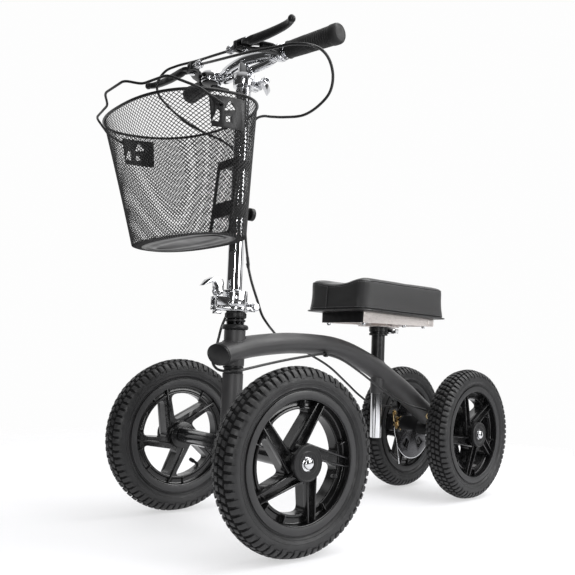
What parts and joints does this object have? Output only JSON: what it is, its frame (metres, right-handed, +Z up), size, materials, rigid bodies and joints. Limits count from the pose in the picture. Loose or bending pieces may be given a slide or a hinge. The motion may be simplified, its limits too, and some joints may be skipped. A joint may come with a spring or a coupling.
{
  "type": "knee scooter",
  "caption": "Steerable knee scooter with pneumatic wheels, padded knee rest, folding column, hand brakes and a front basket with a bail handle.",
  "frame": {"origin": "on the floor under the centre of the whole outline", "axes": "+Z up, -Y forward (basket and front axle), +X the rider's left"},
  "size_m": [0.4908, 1.1052, 0.9023],
  "materials": {
    "frame_grey": "matte dark grey",
    "chrome": "polished",
    "black_steel": "satin black",
    "black_plastic": "satin black",
    "tyre": "matt",
    "grip": "matt",
    "vinyl": "semi-gloss",
    "alloy": "satin",
    "gold": "satin",
    "steel": "brushed",
    "cable": "satin"
  },
  "bodies": {
    "frame": {"main_tube": "frame_grey", "tube_end_cap": "black_plastic", "rear_carrier": "black_steel", "rear_axle": "chrome", "headset_lower": "black_steel", "caliper_left": "gold", "caliper_right": "gold", "pad_clamp": "black_plastic", "cable_clip": "black_plastic", "brake_cable_left_lower": "cable", "brake_cable_right_lower": "cable", "wheel_nut_rear_left": "chrome", "wheel_nut_rear_right": "chrome"},
    "steering": {"steerer_and_axle": "frame_grey", "headset_upper": "black_steel", "fold_base": "chrome", "fold_pin": "chrome", "wheel_nut_front_left": "chrome", "wheel_nut_front_right": "chrome"},
    "column": {"fold_clamp": "chrome", "column_tube": "chrome", "height_clamp": "chrome", "fold_latch_bolt": "chrome", "basket": "black_steel", "basket_bracket": "black_plastic", "basket_hinge_left": "black_steel", "basket_hinge_right": "black_steel"},
    "fold_latch": {"fold_latch_lever": "chrome"},
    "height_lock": {"height_lever": "chrome"},
    "handlebar": {"handlebar": "chrome", "grip_left": "grip", "grip_right": "grip", "brake_perch_left": "black_plastic", "brake_perch_right": "black_plastic", "bell": "chrome", "brake_cable_left_upper": "cable", "brake_cable_right_upper": "cable"},
    "brake_lever_left": {"brake_lever_left": "black_steel"},
    "brake_lever_right": {"brake_lever_right": "black_steel"},
    "caliper_arm_left": {"caliper_arm_left": "chrome"},
    "caliper_arm_right": {"caliper_arm_right": "chrome"},
    "basket_handle": {"basket_handle": "black_steel"},
    "knee_pad": {"knee_pad": "vinyl", "pad_bracket": "alloy", "pad_post": "chrome"},
    "pad_lock": {"pad_clamp_lever": "chrome"},
    "wheel_front_left": {"tyre_front_left": "tyre", "wheel_front_left": "black_plastic", "hub_cap_front_left": "black_plastic"},
    "wheel_front_right": {"tyre_front_right": "tyre", "wheel_front_right": "black_plastic", "hub_cap_front_right": "black_plastic"},
    "wheel_rear_left": {"tyre_rear_left": "tyre", "wheel_rear_left": "black_plastic", "hub_cap_rear_left": "black_plastic", "brake_disc_rear_left": "steel"},
    "wheel_rear_right": {"tyre_rear_right": "tyre", "wheel_rear_right": "black_plastic", "hub_cap_rear_right": "black_plastic", "brake_disc_rear_right": "steel"}
  },
  "joints": [
    {"name": "steering", "type": "hinge", "parent": "frame", "child": "steering", "pos_m": [-0.004, -0.279, 0.3], "axis": [0, 0, 1], "range_deg": [-32.6, 47.4], "deforming": ["brake_cable_left_lower", "brake_cable_right_lower"]},
    {"name": "column_fold", "type": "hinge", "parent": "steering", "child": "column", "pos_m": [0.00025, -0.24627, 0.413], "axis": [-0.9917, 0.1288, 0], "range_deg": [0, 55]},
    {"name": "fold_latch", "type": "hinge", "parent": "column", "child": "fold_latch", "pos_m": [-0.00941, -0.32065, 0.436], "axis": [-0.9917, 0.1288, 0], "range_deg": [0, 20]},
    {"name": "height_lock", "type": "hinge", "parent": "column", "child": "height_lock", "pos_m": [-0.00123, -0.25768, 0.85], "axis": [-0.9917, 0.1288, 0], "range_deg": [-60, 40]},
    {"name": "handlebar_height", "type": "slide", "parent": "column", "child": "handlebar", "axis": [0, 0, 1], "range_m": [0, 0.12], "deforming": ["brake_cable_left_upper", "brake_cable_right_upper"]},
    {"name": "brake_lever_left", "type": "hinge", "parent": "handlebar", "child": "brake_lever_left", "pos_m": [0.07435, -0.35432, 0.876], "axis": [0, 0, 1], "range_deg": [0, 15], "stiffness_Nm_per_rad": 0.6, "springref_deg": -5.73},
    {"name": "brake_lever_right", "type": "hinge", "parent": "handlebar", "child": "brake_lever_right", "pos_m": [-0.08951, -0.34746, 0.876], "axis": [0, 0, -1], "range_deg": [0, 15], "stiffness_Nm_per_rad": 0.6, "springref_deg": -5.73},
    {"name": "caliper_arm_left", "type": "hinge", "parent": "frame", "child": "caliper_arm_left", "pos_m": [0.046, 0.317, 0.167], "axis": [1, 0, 0], "range_deg": [0, 20]},
    {"name": "caliper_arm_right", "type": "hinge", "parent": "frame", "child": "caliper_arm_right", "pos_m": [-0.054, 0.317, 0.167], "axis": [1, 0, 0], "range_deg": [0, 20]},
    {"name": "basket_handle", "type": "hinge", "parent": "column", "child": "basket_handle", "pos_m": [-0.02417, -0.4343, 0.7218], "axis": [-0.9917, 0.1288, 0], "range_deg": [0, 90]},
    {"name": "wheel_front_left", "type": "hinge", "parent": "steering", "child": "wheel_front_left", "pos_m": [0.19136, -0.30437, 0.154], "axis": [0.9917, -0.1288, 0], "continuous": true},
    {"name": "wheel_front_right", "type": "hinge", "parent": "steering", "child": "wheel_front_right", "pos_m": [-0.19936, -0.25363, 0.154], "axis": [0.9917, -0.1288, 0], "continuous": true},
    {"name": "wheel_rear_left", "type": "hinge", "parent": "frame", "child": "wheel_rear_left", "pos_m": [0.0935, 0.3986, 0.154], "axis": [1, 0, 0], "continuous": true},
    {"name": "wheel_rear_right", "type": "hinge", "parent": "frame", "child": "wheel_rear_right", "pos_m": [-0.1015, 0.3986, 0.154], "axis": [1, 0, 0], "continuous": true},
    {"name": "pad_height", "type": "slide", "parent": "frame", "child": "knee_pad", "axis": [0, 0, 1], "range_m": [0, 0.08]},
    {"name": "pad_lock", "type": "hinge", "parent": "frame", "child": "pad_lock", "pos_m": [-0.004, 0.188, 0.391], "axis": [-1, 0, 0], "range_deg": [0, 80]}
  ],
  "couplings": [
    {"joint": "caliper_arm_left", "follows": "brake_lever_left", "ratio": 1.3},
    {"joint": "caliper_arm_right", "follows": "brake_lever_right", "ratio": 1.3}
  ]
}
